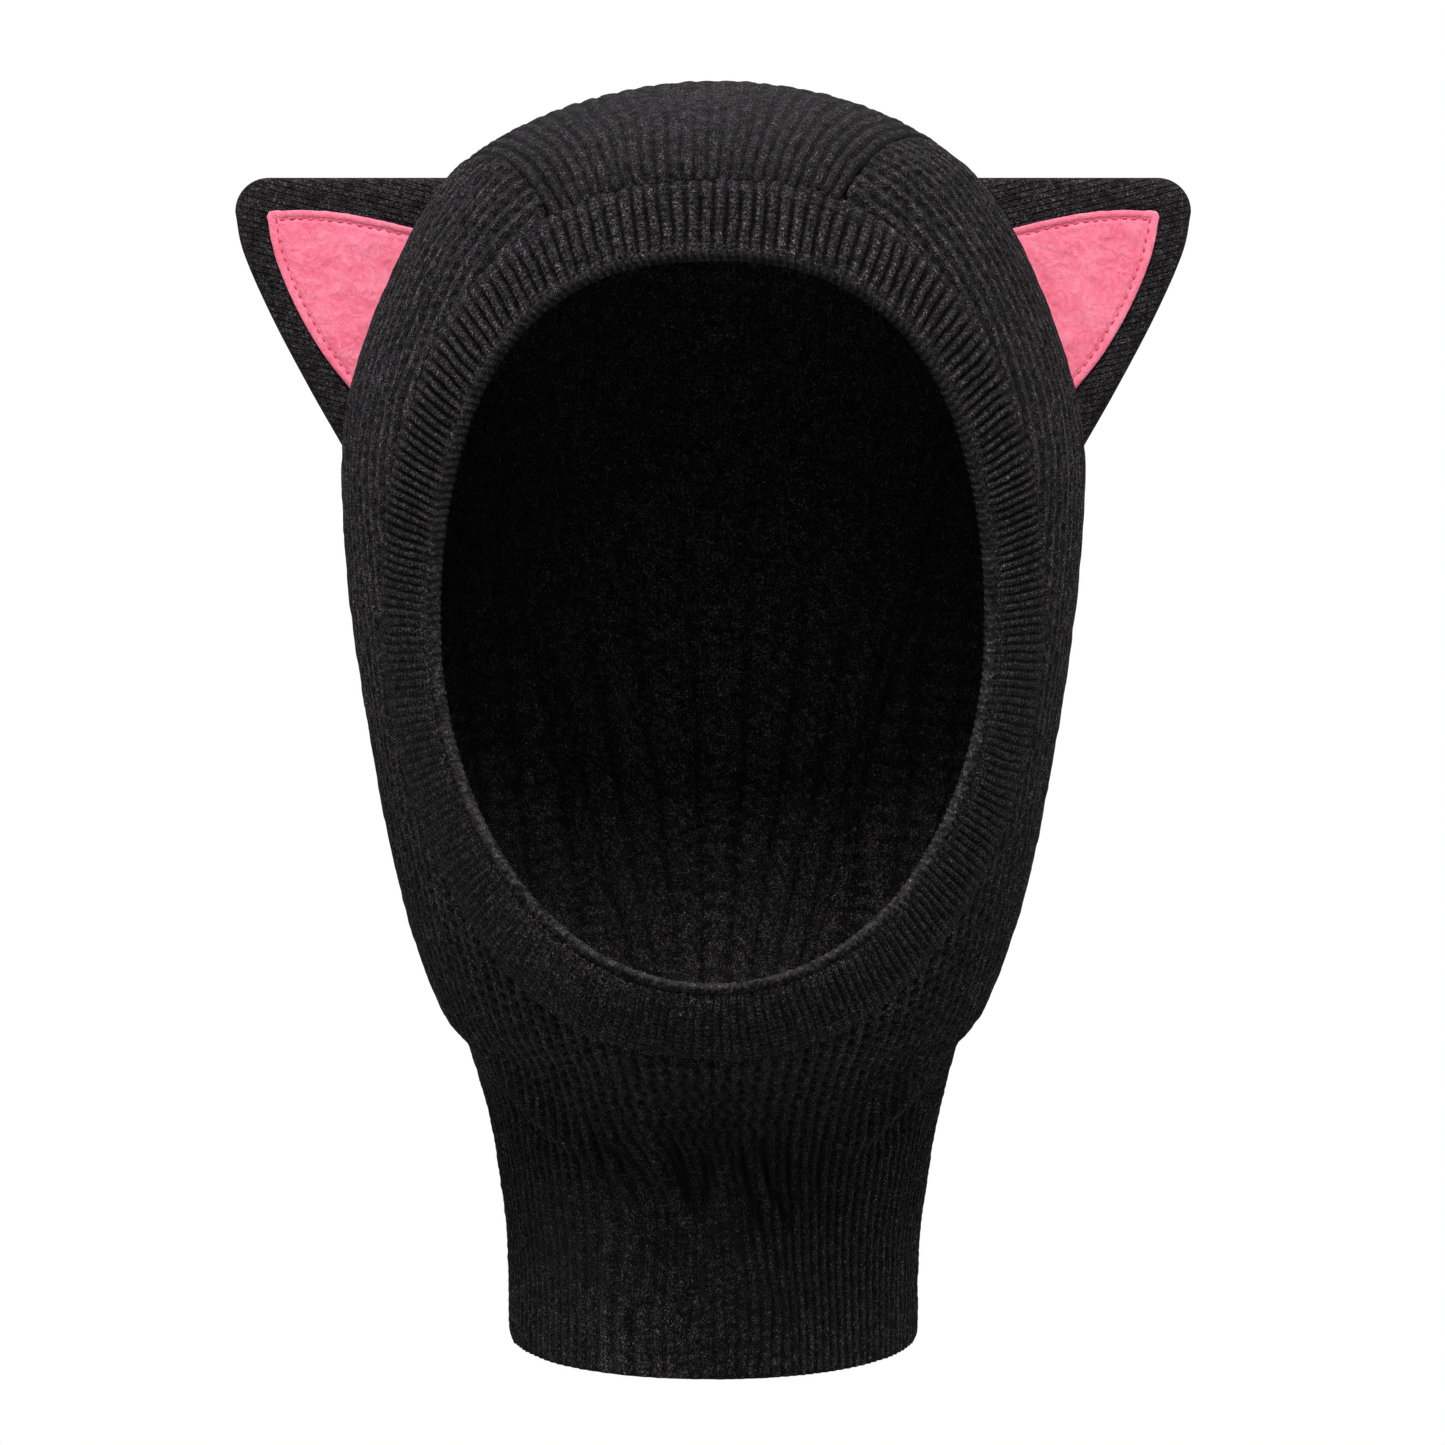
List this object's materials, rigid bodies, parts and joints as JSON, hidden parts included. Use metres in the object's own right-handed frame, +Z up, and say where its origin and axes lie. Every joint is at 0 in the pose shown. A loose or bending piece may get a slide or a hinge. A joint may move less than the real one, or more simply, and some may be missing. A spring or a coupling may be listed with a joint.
{
  "type": "balaclava",
  "caption": "Close-fitting knitted balaclava with an oval face opening, ribbed face band, waffle-knit sides, ribbed neck and padded cat ears lined with felt.",
  "frame": {"origin": "centre of the neck opening, in the plane of the hem", "axes": "+Z up through the crown, -Y the wearer's front where the face opening is, +X the wearer's left"},
  "size_m": [0.2348, 0.1986, 0.3087],
  "materials": {
    "crown_knit": "matte heathered near-black rib knit, softly fuzzy",
    "waffle_knit": "matte heathered near-black waffle knit",
    "rib_knit": "matte near-black fine one-by-one rib",
    "cast_off_edge": "matte charcoal chain-stitched cast-off edge",
    "neck_knit": "matte near-black coarse rib knit",
    "ear_knit": "matte near-black fine plain knit",
    "seam_yarn": "matte black linking yarn",
    "pink_felt": "mottled fuzzy needled felt",
    "pink_thread": "matte pink sewing thread",
    "wadding": "soft white polyester wadding"
  },
  "bodies": {
    "root": {"hood_center_panel": "crown_knit", "hood_left_panel": "waffle_knit", "hood_right_panel": "waffle_knit", "face_band": "rib_knit", "face_band_edge": "cast_off_edge", "face_band_seam": "seam_yarn", "neck_front_panel": "neck_knit", "neck_back_panel": "neck_knit", "neck_seam": "seam_yarn", "neck_side_seam_left": "seam_yarn", "neck_side_seam_right": "seam_yarn", "crown_seam_left": "seam_yarn", "crown_seam_right": "seam_yarn", "chin_seam": "seam_yarn", "left_ear_base": "ear_knit", "right_ear_base": "ear_knit"},
    "left_ear": {"left_ear_front": "ear_knit", "left_ear_back": "ear_knit", "left_ear_wadding": "wadding", "left_ear_felt": "pink_felt", "left_ear_stitching": "pink_thread"},
    "right_ear": {"right_ear_front": "ear_knit", "right_ear_back": "ear_knit", "right_ear_wadding": "wadding", "right_ear_felt": "pink_felt", "right_ear_stitching": "pink_thread"}
  },
  "joints": [
    {"name": "left_ear_flex", "type": "hinge", "parent": "root", "child": "left_ear", "pos_m": [0.0843, 0.01, 0.2525], "axis": [0.392, 0, -0.92], "range_deg": [-35, 35], "stiffness_Nm_per_rad": 0.06},
    {"name": "right_ear_flex", "type": "hinge", "parent": "root", "child": "right_ear", "pos_m": [-0.0843, 0.01, 0.2525], "axis": [0.392, 0, 0.92], "range_deg": [-35, 35], "stiffness_Nm_per_rad": 0.06}
  ]
}
